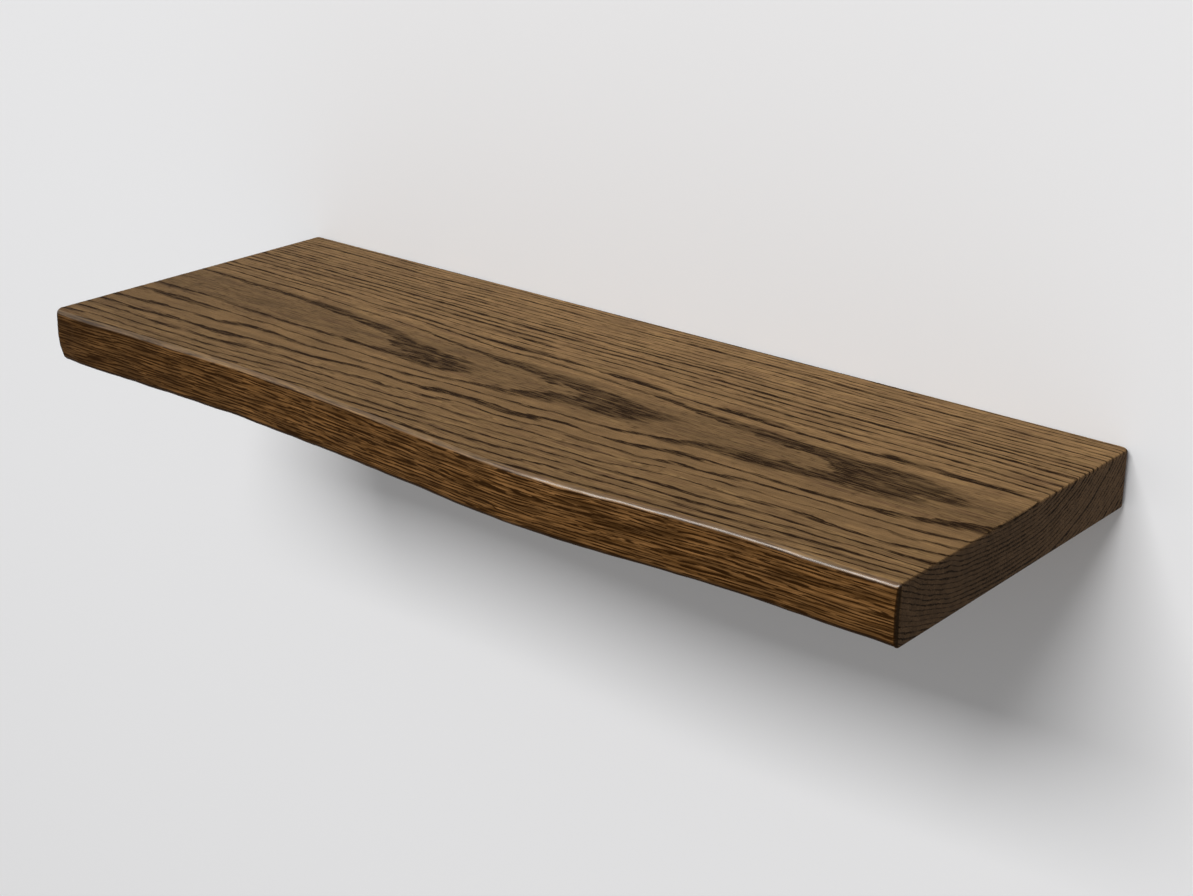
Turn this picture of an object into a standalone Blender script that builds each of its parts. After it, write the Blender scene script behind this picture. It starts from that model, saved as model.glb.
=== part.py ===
"""Live edge oak shelf on three concealed wall supports.

The board is one oak plank. Its back is routed and bored, and it slides forward
off three steel rods that stand out of plates screwed to the wall.

Axes: +X runs along the shelf to the right, +Y points into the wall and +Z is up.
The origin lies in the wall plane, at the middle of the board's back.
"""

import math

import bmesh
import bpy
from mathutils import Vector

# Board, in metres
BOARD_LENGTH = 0.800
BOARD_DEPTH = 0.285
BOARD_THICKNESS = 0.042

# The live edge: how far its face stands in front of the nominal depth,
# at places given as a fraction of the length from the left end
LIVE_EDGE = (
    (0.00, 0.0002),
    (0.05, 0.0009),
    (0.11, -0.0014),
    (0.18, -0.0027),
    (0.27, -0.0042),
    (0.36, -0.0021),
    (0.45, 0.0018),
    (0.53, 0.0063),
    (0.60, 0.0098),
    (0.65, 0.0105),
    (0.70, 0.0083),
    (0.76, 0.0035),
    (0.82, -0.0009),
    (0.88, -0.0031),
    (0.95, -0.0033),
    (1.00, -0.0046),
)
LIVE_EDGE_STEPS = 80
LIVE_FACE_SWELL = 0.0012
LIVE_EDGE_SLOPE_REACH = 0.001

# The waney corner at the left end, where the underside stops short of the top
CORNER_CURL_DEPTH = 0.0010
CORNER_CURL_SIDE = 0.0050
CORNER_CURL_LENGTH = 0.030
CORNER_CURL_REACH = 0.035
CORNER_CURL_HEIGHT = 0.0165
CORNER_CURL_EASE_ALONG = 1.5
CORNER_CURL_EASE_DOWN = 1.25

# Roundings of the board's edges
LIVE_EDGE_TOP_RADIUS = 0.0040
LIVE_EDGE_BOTTOM_RADIUS = 0.0048
END_EDGE_RADIUS = 0.0020
BACK_EDGE_RADIUS = 0.0018
FRONT_CORNER_RADIUS = 0.0032
RIGHT_REAR_CORNER_RADIUS = 0.0065
LEFT_REAR_CORNER_RADIUS = 0.0035
WANEY_CORNER_RADIUS = 0.0075
ROUNDING_STEPS = 5
CORNER_STEPS = 6
FACE_STEPS = 4

# Wall supports; the outer ones stand this far from the board's ends
SUPPORT_END_DISTANCE = 0.130
PLATE_LENGTH = 0.074
PLATE_HEIGHT = 0.026
PLATE_THICKNESS = 0.004
PLATE_CORNER_RADIUS = 0.006
PLATE_EDGE_CHAMFER = 0.0005
ROD_DIAMETER = 0.012
ROD_LENGTH = 0.150
ROD_TIP_CHAMFER = 0.002
ROD_TENON_DIAMETER = 0.008
WELD_WIDTH = 0.0015

# Wall fixings
SCREW_SPACING = 0.052
SCREW_DIAMETER = 0.006
SCREW_LENGTH = 0.060
SCREW_HEAD_DIAMETER = 0.0118
SCREW_HEAD_RIM = 0.0006
SCREW_HEAD_SINK = 0.0002
SCREW_POINT_LENGTH = 0.009
SCREW_POINT_WAIST = 0.55
SCREW_POINT_WAIST_PLACE = 0.35
PLUG_DIAMETER = 0.010
PLUG_LENGTH = 0.050
PLUG_SINK = 0.003
PLUG_NOSE_LENGTH = 0.004
PLUG_MOUTH_LENGTH = 0.010
PLUG_RIB_COUNT = 5
PLUG_RIB_HEIGHT = 0.0006
PLUG_RIB_STEP_SHARE = 0.15
PLUG_SLIT_WIDTH = 0.0012
PLUG_SLIT_LENGTH = 0.032

# Clearances
TOUCH_GAP = 0.0003
POCKET_CLEARANCE = 0.0010
POCKET_DEPTH_CLEARANCE = 0.0006
BORE_CLEARANCE = 0.0003
BORE_END_ROOM = 0.008
BORE_MOUTH_CLEARANCE = 0.0006
DRILL_POINT_ANGLE = math.radians(118)

# Fineness of the round pieces
BORE_SEGMENTS = 32
ROD_SEGMENTS = 32
SCREW_SEGMENTS = 20
PLUG_SEGMENTS = 20

# How far a cutter runs past the face that it cuts
CUTTER_OVERRUN = 0.002

SUPPORT_PLACES = (
    ("left", SUPPORT_END_DISTANCE - BOARD_LENGTH / 2),
    ("middle", 0.0),
    ("right", BOARD_LENGTH / 2 - SUPPORT_END_DISTANCE),
)


def clear_scene():
    """Remove every object of the open file."""
    for old in list(bpy.data.objects):
        bpy.data.objects.remove(old, do_unlink=True)


def make_material(name, colour, roughness, metallic):
    """A Principled material; colour is linear red, green, blue."""
    material = bpy.data.materials.new(name)
    material.use_nodes = True
    shader = material.node_tree.nodes["Principled BSDF"]
    shader.inputs["Base Color"].default_value = (*colour, 1.0)
    shader.inputs["Roughness"].default_value = roughness
    shader.inputs["Metallic"].default_value = metallic
    material.diffuse_color = (*colour, 1.0)
    return material


def object_from(bm, name, material=None, parent=None):
    """Turn a bmesh into a named object with outward faces."""
    bmesh.ops.recalc_face_normals(bm, faces=bm.faces)
    mesh = bpy.data.meshes.new(name)
    bm.to_mesh(mesh)
    bm.free()
    made = bpy.data.objects.new(name, mesh)
    bpy.context.scene.collection.objects.link(made)
    if material is not None:
        mesh.materials.append(material)
    made.parent = parent
    return made


def make_empty(name, location, parent=None):
    """A guide that carries the pieces of one body or one support."""
    guide = bpy.data.objects.new(name, None)
    guide.empty_display_size = 0.03
    guide.location = location
    guide.parent = parent
    bpy.context.scene.collection.objects.link(guide)
    return guide


def hide_cutter(cutter):
    """Keep a cutter out of sight."""
    cutter.display_type = "WIRE"
    cutter.hide_render = True


def cut(target, cutter):
    """Take the cutter's shape away from the target."""
    modifier = target.modifiers.new(cutter.name, "BOOLEAN")
    modifier.operation = "DIFFERENCE"
    modifier.solver = "EXACT"
    modifier.object = cutter
    hide_cutter(cutter)


def smooth_round_faces(made):
    """Shade the round faces smooth and keep the real edges crisp."""
    made.data.shade_smooth()
    made.data.set_sharp_from_angle(angle=math.radians(35))


def arc(centre, radius, start, end, steps):
    """Points of an arc in a plane, both ends included."""
    points = []
    for step in range(steps + 1):
        angle = start + (end - start) * step / steps
        points.append((centre[0] + radius * math.cos(angle), centre[1] + radius * math.sin(angle)))
    return points


def rounded_rectangle(length, height, radius, steps):
    """Corner arcs of a rectangle centred on the origin, anticlockwise."""
    points = []
    for turn, (side_x, side_y) in enumerate(((1, 1), (-1, 1), (-1, -1), (1, -1))):
        centre = (side_x * (length / 2 - radius), side_y * (height / 2 - radius))
        start = turn * math.pi / 2
        points += arc(centre, radius, start, start + math.pi / 2, steps)
    return points


def slab(bm, outline, near, far):
    """A flat plate: an outline in X and Z, extruded from Y = near to Y = far."""
    corners = [bm.verts.new((x, near, z)) for x, z in outline]
    face = bm.faces.new(corners)
    grown = bmesh.ops.extrude_face_region(bm, geom=[face])
    moved = [part for part in grown["geom"] if isinstance(part, bmesh.types.BMVert)]
    bmesh.ops.translate(bm, verts=moved, vec=(0, far - near, 0))


def turned(profile, segments):
    """Spin a profile of (radius, y) points about the Y axis into a closed solid."""
    bm = bmesh.new()
    points = [bm.verts.new((radius, y, 0)) for radius, y in profile]
    edges = [bm.edges.new(pair) for pair in zip(points, points[1:])]
    bmesh.ops.spin(
        bm,
        geom=points + edges,
        cent=(0, 0, 0),
        axis=(0, 1, 0),
        angle=2 * math.pi,
        steps=segments,
        use_merge=True,
    )
    bmesh.ops.remove_doubles(bm, verts=bm.verts, dist=1e-6)
    return bm


def live_edge_offset(fraction):
    """Smooth curve through the LIVE_EDGE points."""
    last = len(LIVE_EDGE) - 1
    index = 0
    while index < last - 1 and fraction > LIVE_EDGE[index + 1][0]:
        index += 1

    def slope(place):
        before = LIVE_EDGE[max(place - 1, 0)]
        after = LIVE_EDGE[min(place + 1, last)]
        return (after[1] - before[1]) / (after[0] - before[0])

    left, right = LIVE_EDGE[index], LIVE_EDGE[index + 1]
    span = right[0] - left[0]
    t = (fraction - left[0]) / span
    return (
        (2 * t**3 - 3 * t**2 + 1) * left[1]
        + (t**3 - 2 * t**2 + t) * span * slope(index)
        + (3 * t**2 - 2 * t**3) * right[1]
        + (t**3 - t**2) * span * slope(index + 1)
    )


def live_edge_y(x):
    """Y of the live edge face at a place along the board."""
    return -(BOARD_DEPTH + live_edge_offset(x / BOARD_LENGTH + 0.5))


def board_outline():
    """The board seen from above: points with their outward normal and edge radii.

    It runs along the live edge from left to right, round the right end, along the
    back and round the left end.
    """
    half = BOARD_LENGTH / 2
    live = (LIVE_EDGE_TOP_RADIUS, LIVE_EDGE_BOTTOM_RADIUS)
    end = (END_EDGE_RADIUS, END_EDGE_RADIUS)
    back = (BACK_EDGE_RADIUS, BACK_EDGE_RADIUS)
    outline = []

    first, last = -half + WANEY_CORNER_RADIUS, half - FRONT_CORNER_RADIUS
    for step in range(1, LIVE_EDGE_STEPS):
        x = first + (last - first) * step / LIVE_EDGE_STEPS
        before, after = x - LIVE_EDGE_SLOPE_REACH, x + LIVE_EDGE_SLOPE_REACH
        along = Vector((after - before, live_edge_y(after) - live_edge_y(before)))
        outline.append(((x, live_edge_y(x)), (along.y / along.length, -along.x / along.length), live))

    corners = (
        (last, live_edge_y(last) + FRONT_CORNER_RADIUS, FRONT_CORNER_RADIUS, live, end),
        (half - RIGHT_REAR_CORNER_RADIUS, -RIGHT_REAR_CORNER_RADIUS, RIGHT_REAR_CORNER_RADIUS, end, back),
        (-half + LEFT_REAR_CORNER_RADIUS, -LEFT_REAR_CORNER_RADIUS, LEFT_REAR_CORNER_RADIUS, back, end),
        (first, live_edge_y(first) + WANEY_CORNER_RADIUS, WANEY_CORNER_RADIUS, end, live),
    )
    for turn, (x, y, radius, before, after) in enumerate(corners):
        for step in range(CORNER_STEPS + 1):
            share = step / CORNER_STEPS
            angle = (turn - 1 + share) * math.pi / 2
            normal = (math.cos(angle), math.sin(angle))
            place = (x + radius * normal[0], y + radius * normal[1])
            radii = tuple(a + (b - a) * share for a, b in zip(before, after))
            outline.append((place, normal, radii))
    return outline


def corner_curl(x, y, height):
    """How strongly the waney corner is drawn in at a point, from 0 to 1."""
    along = max(0.0, 1 - (x + BOARD_LENGTH / 2) / CORNER_CURL_LENGTH)
    inward = max(0.0, 1 - (y - live_edge_y(x)) / CORNER_CURL_REACH)
    down = max(0.0, 1 - height / CORNER_CURL_HEIGHT)
    return along**CORNER_CURL_EASE_ALONG * inward * down**CORNER_CURL_EASE_DOWN


def board_point(place, normal, inset, height):
    """A point of the board's side: drawn in at the roundings, swollen on the live face."""
    x = place[0] - inset * normal[0]
    y = place[1] - inset * normal[1]
    facing_out = max(0.0, -normal[1])
    swell = LIVE_FACE_SWELL * math.sin(math.pi * height / BOARD_THICKNESS)
    curl = corner_curl(x, y, height)
    x += CORNER_CURL_SIDE * curl
    y += CORNER_CURL_DEPTH * curl - facing_out * swell
    return Vector((x, y, height - BOARD_THICKNESS / 2))


def board_rings():
    """Closed rings of points round the board's side, from the underside to the top."""
    rings = []
    quarter = math.pi / 2
    for step in range(ROUNDING_STEPS + 1):
        angle = quarter * step / ROUNDING_STEPS
        rings.append([
            board_point(place, normal, bottom * (1 - math.sin(angle)), bottom * (1 - math.cos(angle)))
            for place, normal, (top, bottom) in board_outline()
        ])
    for step in range(1, FACE_STEPS):
        rings.append([
            board_point(place, normal, 0.0, bottom + (BOARD_THICKNESS - top - bottom) * step / FACE_STEPS)
            for place, normal, (top, bottom) in board_outline()
        ])
    for step in range(ROUNDING_STEPS + 1):
        angle = quarter * step / ROUNDING_STEPS
        rings.append([
            board_point(place, normal, top * (1 - math.cos(angle)),
                        BOARD_THICKNESS - top * (1 - math.sin(angle)))
            for place, normal, (top, bottom) in board_outline()
        ])
    return rings


def loft(bm, rings):
    """Join rings of points into a closed skin with flat ends."""
    loops = []
    for ring in rings:
        points = [bm.verts.new(point) for point in ring]
        loops.append([bm.edges.new(pair) for pair in zip(points, points[1:] + points[:1])])
    for lower, upper in zip(loops, loops[1:]):
        bmesh.ops.bridge_loops(bm, edges=lower + upper)
    for loop in (loops[0], loops[-1]):
        bmesh.ops.contextual_create(bm, geom=loop)


def pocket_cutter(board, place, x):
    """The routed pocket that takes a support plate."""
    grow = 2 * POCKET_CLEARANCE
    outline = rounded_rectangle(
        PLATE_LENGTH + grow, PLATE_HEIGHT + grow, PLATE_CORNER_RADIUS + POCKET_CLEARANCE, CORNER_STEPS)
    bm = bmesh.new()
    slab(bm, outline, CUTTER_OVERRUN, -(PLATE_THICKNESS + POCKET_DEPTH_CLEARANCE))
    bmesh.ops.translate(bm, verts=bm.verts, vec=(x, 0, 0))
    return object_from(bm, f"{place}_pocket_cutter", parent=board)


def bore_cutter(board, place, x):
    """The drilled bore that takes a support rod, with its eased mouth and drill point."""
    radius = ROD_DIAMETER / 2 + BORE_CLEARANCE
    floor = -(PLATE_THICKNESS + POCKET_DEPTH_CLEARANCE)
    mouth = WELD_WIDTH + BORE_MOUTH_CLEARANCE
    deep_end = -(PLATE_THICKNESS + ROD_LENGTH + BORE_END_ROOM)
    point = deep_end - radius / math.tan(DRILL_POINT_ANGLE / 2)
    overrun = CUTTER_OVERRUN
    profile = (
        (0.0, floor + overrun),
        (radius + mouth + overrun, floor + overrun),
        (radius, floor - mouth),
        (radius, deep_end),
        (0.0, point),
    )
    bm = turned(profile, BORE_SEGMENTS)
    bmesh.ops.translate(bm, verts=bm.verts, vec=(x, 0, 0))
    return object_from(bm, f"{place}_bore_cutter", parent=board)


def make_board(material, parent):
    """The oak board with its live edge, and the pockets and bores in its back."""
    bm = bmesh.new()
    loft(bm, board_rings())
    board = object_from(bm, "live_edge_board", material, parent)
    for place, x in SUPPORT_PLACES:
        cut(board, pocket_cutter(board, place, x))
        cut(board, bore_cutter(board, place, x))
    smooth_round_faces(board)
    return board


def plate_hole_cutter(name, x, bore_radius, head_radius, parent):
    """A hole through a plate, with a 90 degree countersink in its front where it has a head."""
    overrun = CUTTER_OVERRUN
    front = -PLATE_THICKNESS
    profile = [(0.0, overrun), (bore_radius, overrun)]
    if head_radius > bore_radius:
        rim = SCREW_HEAD_RIM + SCREW_HEAD_SINK
        profile += [
            (bore_radius, front + rim + head_radius - bore_radius),
            (head_radius, front + rim),
            (head_radius, front - overrun),
        ]
    else:
        profile.append((bore_radius, front - overrun))
    profile.append((0.0, front - overrun))
    bm = turned(profile, ROD_SEGMENTS)
    bmesh.ops.translate(bm, verts=bm.verts, vec=(x, 0, 0))
    return object_from(bm, name, parent=parent)


def make_plate(place, material, parent):
    """The steel plate of one support, with two countersunk holes and the rod's seat."""
    outline = rounded_rectangle(PLATE_LENGTH, PLATE_HEIGHT, PLATE_CORNER_RADIUS, CORNER_STEPS)
    bm = bmesh.new()
    slab(bm, outline, 0.0, -PLATE_THICKNESS)
    plate = object_from(bm, f"{place}_support_plate", material, parent)
    edges = plate.modifiers.new("stamped edge", "BEVEL")
    edges.width = PLATE_EDGE_CHAMFER
    edges.segments = 1
    edges.limit_method = "ANGLE"
    seat = ROD_TENON_DIAMETER / 2 + TOUCH_GAP
    cut(plate, plate_hole_cutter(f"{place}_tenon_cutter", 0.0, seat, 0.0, plate))
    for side in (-1, 1):
        cut(plate, plate_hole_cutter(
            f"{place}_screw_hole_cutter_{side}",
            side * SCREW_SPACING / 2,
            SCREW_DIAMETER / 2 + TOUCH_GAP,
            SCREW_HEAD_DIAMETER / 2 + TOUCH_GAP,
            plate,
        ))
    smooth_round_faces(plate)
    return plate


def make_rod(place, material, parent):
    """The steel rod of one support, riveted and welded into its plate."""
    radius = ROD_DIAMETER / 2
    shoulder = -(PLATE_THICKNESS + TOUCH_GAP)
    tip = -(PLATE_THICKNESS + ROD_LENGTH)
    profile = (
        (0.0, 0.0),
        (ROD_TENON_DIAMETER / 2, 0.0),
        (ROD_TENON_DIAMETER / 2, shoulder),
        (radius + WELD_WIDTH, shoulder),
        (radius, shoulder - WELD_WIDTH),
        (radius, tip + ROD_TIP_CHAMFER),
        (radius - ROD_TIP_CHAMFER, tip),
        (0.0, tip),
    )
    rod = object_from(turned(profile, ROD_SEGMENTS), f"{place}_support_rod", material, parent)
    smooth_round_faces(rod)
    return rod


def make_screw(name, x, material, parent):
    """A countersunk wood screw through the plate into the wall plug."""
    radius = SCREW_DIAMETER / 2
    head = SCREW_HEAD_DIAMETER / 2
    top = -PLATE_THICKNESS + SCREW_HEAD_SINK
    point = top + SCREW_LENGTH
    profile = (
        (0.0, top),
        (head, top),
        (head, top + SCREW_HEAD_RIM),
        (radius, top + SCREW_HEAD_RIM + head - radius),
        (radius, point - SCREW_POINT_LENGTH),
        (radius * SCREW_POINT_WAIST, point - SCREW_POINT_LENGTH * SCREW_POINT_WAIST_PLACE),
        (0.0, point),
    )
    screw = object_from(turned(profile, SCREW_SEGMENTS), name, material, parent)
    screw.location.x = x
    smooth_round_faces(screw)
    return screw


def plug_profile():
    """Half section of a wall plug: a tube with a plain mouth, barbed ribs and a tapered nose."""
    bore = SCREW_DIAMETER / 2 + TOUCH_GAP
    outer = PLUG_DIAMETER / 2
    root = outer - PLUG_RIB_HEIGHT
    mouth = PLUG_SINK
    end = PLUG_SINK + PLUG_LENGTH
    ribs_start = mouth + PLUG_MOUTH_LENGTH
    ribs_end = end - PLUG_NOSE_LENGTH
    pitch = (ribs_end - ribs_start) / PLUG_RIB_COUNT
    profile = [(bore, end), (bore, mouth), (outer, mouth), (outer, ribs_start)]
    for rib in range(PLUG_RIB_COUNT):
        start = ribs_start + rib * pitch
        profile.append((root, start + pitch * PLUG_RIB_STEP_SHARE))
        if rib < PLUG_RIB_COUNT - 1:
            profile.append((outer, start + pitch))
    profile.append((root, ribs_end))
    profile.append(((bore + root) / 2, end))
    profile.append((bore, end))
    return profile


def make_plug(name, x, material, parent):
    """A nylon wall plug round the screw, split along its expanding part."""
    plug = object_from(turned(plug_profile(), PLUG_SEGMENTS), name, material, parent)
    plug.location.x = x
    slit = bmesh.new()
    bmesh.ops.create_cube(slit, size=1.0)
    end = PLUG_SINK + PLUG_LENGTH + CUTTER_OVERRUN
    start = PLUG_SINK + PLUG_LENGTH - PLUG_SLIT_LENGTH
    span = PLUG_DIAMETER / 2 + CUTTER_OVERRUN
    bmesh.ops.scale(slit, verts=slit.verts, vec=(PLUG_SLIT_WIDTH, end - start, span))
    bmesh.ops.translate(slit, verts=slit.verts, vec=(0, (start + end) / 2, span / 2))
    cut(plug, object_from(slit, f"{name}_slit_cutter", parent=plug))
    smooth_round_faces(plug)
    return plug


def make_supports(steel, zinc, nylon, parent):
    """Three supports, each a plate, a rod, two screws and two wall plugs."""
    number = 0
    for place, x in SUPPORT_PLACES:
        carrier = make_empty(f"{place}_support", (x, 0, 0), parent)
        make_plate(place, steel, carrier)
        make_rod(place, steel, carrier)
        for side in (-1, 1):
            number += 1
            make_screw(f"wall_screw_{number}", side * SCREW_SPACING / 2, zinc, carrier)
            make_plug(f"wall_plug_{number}", side * SCREW_SPACING / 2, nylon, carrier)


def main():
    clear_scene()
    oak = make_material("stained_oak", (0.116, 0.067, 0.034), 0.45, 0.0)
    steel = make_material("zinc_plated_steel", (0.56, 0.57, 0.58), 0.38, 1.0)
    zinc = make_material("yellow_zinc_screw", (0.66, 0.55, 0.33), 0.35, 1.0)
    nylon = make_material("grey_nylon", (0.36, 0.37, 0.38), 0.55, 0.0)
    wall = make_empty("wall_line", (0, 0, 0))
    make_supports(steel, zinc, nylon, wall)
    slide = make_empty("board_slide_axis", (0, 0, 0), wall)
    make_board(oak, slide)


main()
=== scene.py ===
"""Looks of a live edge oak wall shelf: finishes, fine shapes, stage and camera."""

import math

import bmesh
import bpy
from mathutils import Euler, Matrix, Vector, noise


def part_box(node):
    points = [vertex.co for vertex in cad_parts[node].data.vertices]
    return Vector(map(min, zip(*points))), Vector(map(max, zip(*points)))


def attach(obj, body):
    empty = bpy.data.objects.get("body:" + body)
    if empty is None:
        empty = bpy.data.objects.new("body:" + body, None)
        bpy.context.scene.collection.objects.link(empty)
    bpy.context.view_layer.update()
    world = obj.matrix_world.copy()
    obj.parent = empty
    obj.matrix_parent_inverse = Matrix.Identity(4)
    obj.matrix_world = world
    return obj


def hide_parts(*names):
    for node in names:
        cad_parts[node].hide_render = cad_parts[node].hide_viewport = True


bl_info = {
    "name": "Live Edge Shelf",
    "version": (1, 0, 0),
    "blender": (4, 5, 0),
    "location": "View3D > Sidebar > Shelf",
    "description": "Dresses a live edge oak shelf and its concealed supports",
    "category": "Add Mesh",
}

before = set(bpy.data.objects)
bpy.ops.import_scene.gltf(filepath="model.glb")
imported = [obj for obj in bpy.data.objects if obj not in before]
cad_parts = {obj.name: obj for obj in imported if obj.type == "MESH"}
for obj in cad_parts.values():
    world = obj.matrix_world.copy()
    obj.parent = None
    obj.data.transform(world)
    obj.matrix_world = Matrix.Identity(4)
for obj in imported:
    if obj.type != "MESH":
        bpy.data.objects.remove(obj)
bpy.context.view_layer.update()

MM = 0.001
BOARD_NODE = "live_edge_board"
BOARD_LOW, BOARD_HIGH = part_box(BOARD_NODE)
PLACES = ("left", "middle", "right")
FIXING_NUMBERS = range(1, 7)
SUPPORT_SPACING = sum(corner[0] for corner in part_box("right_support_plate")) / 2
BOARD_BODY = "board"
WALL_BODY = "wall_supports"

# The board's edges and the room cut for a support in its back, in millimetres
LEFT, RIGHT = BOARD_LOW[0] / MM, BOARD_HIGH[0] / MM
FRONT, TOP = BOARD_LOW[1] / MM, BOARD_HIGH[2] / MM
POCKET_HALF_WIDTH = 39.5
POCKET_HALF_HEIGHT = 15.5
BORE_MIDDLE = -87.7
BORE_HALF_LENGTH = 87.3

# Places along the board at which the live edge's depth is read from the CAD mesh, and how near to
# one of them a vertex has to be, as a share of their spacing
EDGE_STATIONS = 21
STATION_REACH = 0.35

# Angles in degrees from which an edge stays sharp, and distances under which points are merged
SHARP_ANGLE = 30
TURNED_SHARP_ANGLE = 32
MERGED = 0.001 * MM
BOARD_MERGED = 0.002 * MM


def hex_colour(text):
    """Linear red, green, blue and alpha of an sRGB hex value."""
    channels = [int(text[start:start + 2], 16) / 255 for start in (0, 2, 4)]
    linear = [c / 12.92 if c <= 0.04045 else ((c + 0.055) / 1.055) ** 2.4 for c in channels]
    return (*linear, 1.0)


def socket_in_use(sockets, key=None):
    """A socket by its number, or the first one in use, of that name if one is given."""
    if isinstance(key, int):
        return sockets[key]
    return next(socket for socket in sockets if socket.enabled and key in (None, socket.name))


def set_inputs(tree, target, inputs):
    """Set or link a node's inputs; a node given as a value stands for its first output."""
    for key, value in inputs.items():
        socket = socket_in_use(target.inputs, key)
        if isinstance(value, bpy.types.Node):
            value = socket_in_use(value.outputs)
        if isinstance(value, bpy.types.NodeSocket):
            tree.links.new(value, socket)
        else:
            socket.default_value = value


def node(tree, kind, inputs=None, operation=None, stops=(), **settings):
    """Add a shader node with its operation, colour stops, other settings and inputs."""
    made = tree.nodes.new(f"ShaderNode{kind}")
    count = len(tree.nodes)
    made.location = (count % 9 * 220, -(count // 9) * 280)
    if operation:
        made.operation = operation
    for name, value in settings.items():
        setattr(made, name, value)
    if stops:
        ramp = made.color_ramp.elements
        while len(ramp) < len(stops):
            ramp.new(0.5)
        for element, (position, value) in zip(ramp, stops):
            element.position = position
            element.color = (value, value, value, 1.0)
    set_inputs(tree, made, inputs or {})
    return made


def new_material(name):
    """A material with its Principled shader, ready for a pattern."""
    material = bpy.data.materials.new(name)
    material.use_nodes = True
    return material, material.node_tree, material.node_tree.nodes["Principled BSDF"]


def dress(piece, material):
    """Give a piece one material."""
    piece.data.materials.clear()
    piece.data.materials.append(material)


def smooth(mesh, degrees=SHARP_ANGLE):
    """Shade a mesh smooth but for its real edges."""
    mesh.shade_smooth()
    mesh.set_sharp_from_angle(angle=math.radians(degrees))


def add_object(name, data):
    """Add an object with its data to the scene."""
    made = bpy.data.objects.new(name, data)
    bpy.context.scene.collection.objects.link(made)
    return made


def add_mesh(bm, name):
    """Add an object whose mesh is what was modelled."""
    mesh = bpy.data.meshes.new(name)
    bm.to_mesh(mesh)
    bm.free()
    return add_object(name, mesh)


def add_piece(bm, name, degrees=SHARP_ANGLE):
    """Add a piece with its place in its mesh and its faces turned outwards."""
    bmesh.ops.recalc_face_normals(bm, faces=bm.faces)
    made = add_mesh(bm, name)
    smooth(made.data, degrees)
    return made


def length(name, description, default):
    """A property for a length, whose default is given in millimetres."""
    return bpy.props.FloatProperty(name=name, description=description, default=default * MM,
                                   unit="LENGTH")


def angle(name, description, default):
    """A property for an angle, whose default is given in degrees."""
    return bpy.props.FloatProperty(name=name, description=description,
                                   default=math.radians(default), subtype="ANGLE")


def amount(name, description, default):
    """A property for a plain number, such as a share or a power."""
    return bpy.props.FloatProperty(name=name, description=description, default=default)


def hex_value(name, description, default):
    """A property for a colour, written as an sRGB hex value."""
    return bpy.props.StringProperty(name=name, description=f"{description}, as sRGB hex",
                                    default=default)


class OakSizes(bpy.types.PropertyGroup):
    """Sizes and colours of the oak board."""

    ring_width: length("Ring width", "Thickness of one year's growth", 3.0)
    tight_reach: length("Tight reach", "How far from its centre the growth stays even", 30)
    pith_depth: length("Pith depth", "Distance of the tree's centre from the wall", 160)
    heart_flatness: amount("Heart flatness", "How much flatter the rings are over the heart", 0.45)
    rear_growth: amount("Rear growth", "How much broader the rings are towards the wall", 0.27)
    front_growth: amount("Front growth", "How much broader they are towards the live edge", 0.62)
    unevenness: length("Unevenness", "Depth of the live edge's small dents", 0.6)
    top_wood: hex_value("Top wood", "Stained latewood of the top", "6e5238")
    top_streak: hex_value("Top streaks", "Lightest fibres of the top", "97784f")
    top_pore: hex_value("Top pores", "Stain gathered in the pores of the top", "241506")
    live_wood: hex_value("Live edge wood", "Stained wood of the live edge", "442b10")
    live_streak: hex_value("Live edge streaks", "Lightest fibres of the live edge", "7b5833")
    live_pore: hex_value("Live edge pores", "Pores of the live edge", "251302")
    raw_wood: hex_value("Raw wood", "Bare oak in the pockets and bores", "b08f66")
    end_wood: hex_value("End grain", "Stained end grain", "483725")
    end_streak: hex_value("End grain light", "Lightest end grain", "604a35")
    end_pore: hex_value("End grain pores", "Open pores of the end grain", "1d1309")


class SupportSizes(bpy.types.PropertyGroup):
    """Sizes and colours of the concealed supports and their fixings."""

    steel: hex_value("Zinc plating", "Colour of the plates and rods", "b9bdc0")
    yellow_zinc: hex_value("Yellow zinc", "Colour of the screws", "c9ac68")
    nylon: hex_value("Nylon", "Colour of the wall plugs", "8b9094")
    rod_diameter: length("Rod diameter", "Diameter of a support rod", 12)
    weld_width: length("Weld width", "Width of the weld round a rod's foot", 1.5)
    screw_diameter: length("Screw diameter", "Diameter over a screw's thread", 6)
    head_diameter: length("Screw head diameter", "Diameter of a screw's countersunk head", 11.8)
    thread_pitch: length("Thread pitch", "Climb of a screw's thread in one turn", 2.6)
    thread_length: length("Thread length", "Length of a screw's thread", 38)
    plug_diameter: length("Plug diameter", "Diameter of a wall plug", 10)
    rib_count: bpy.props.IntProperty(name="Plug ribs", description="Barbed ribs on a plug", default=5)


class StageSizes(bpy.types.PropertyGroup):
    """The wall, the floor, the light and the camera."""

    lens: amount("Lens", "Focal length on a 36 mm wide sensor, in millimetres", 61.9)
    wall_paint: hex_value("Wall paint", "Colour of the wall and the floor", "e9e9ea")
    key_distance: length("Key distance", "Distance of the soft box", 12000)
    key_elevation: angle("Key elevation", "Height of the soft box as an angle", 40)
    key_azimuth: angle("Key azimuth", "Turn of the soft box to the right of straight ahead", 2)
    key_power: amount("Key power", "Power of the soft box, in watts", 1206)
    strip_power: amount("Strip power", "Power of the strip that glints on the live edge, in watts", 225)
    ambient: amount("Ambient", "Light of the room from all sides", 0.356)


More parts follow.
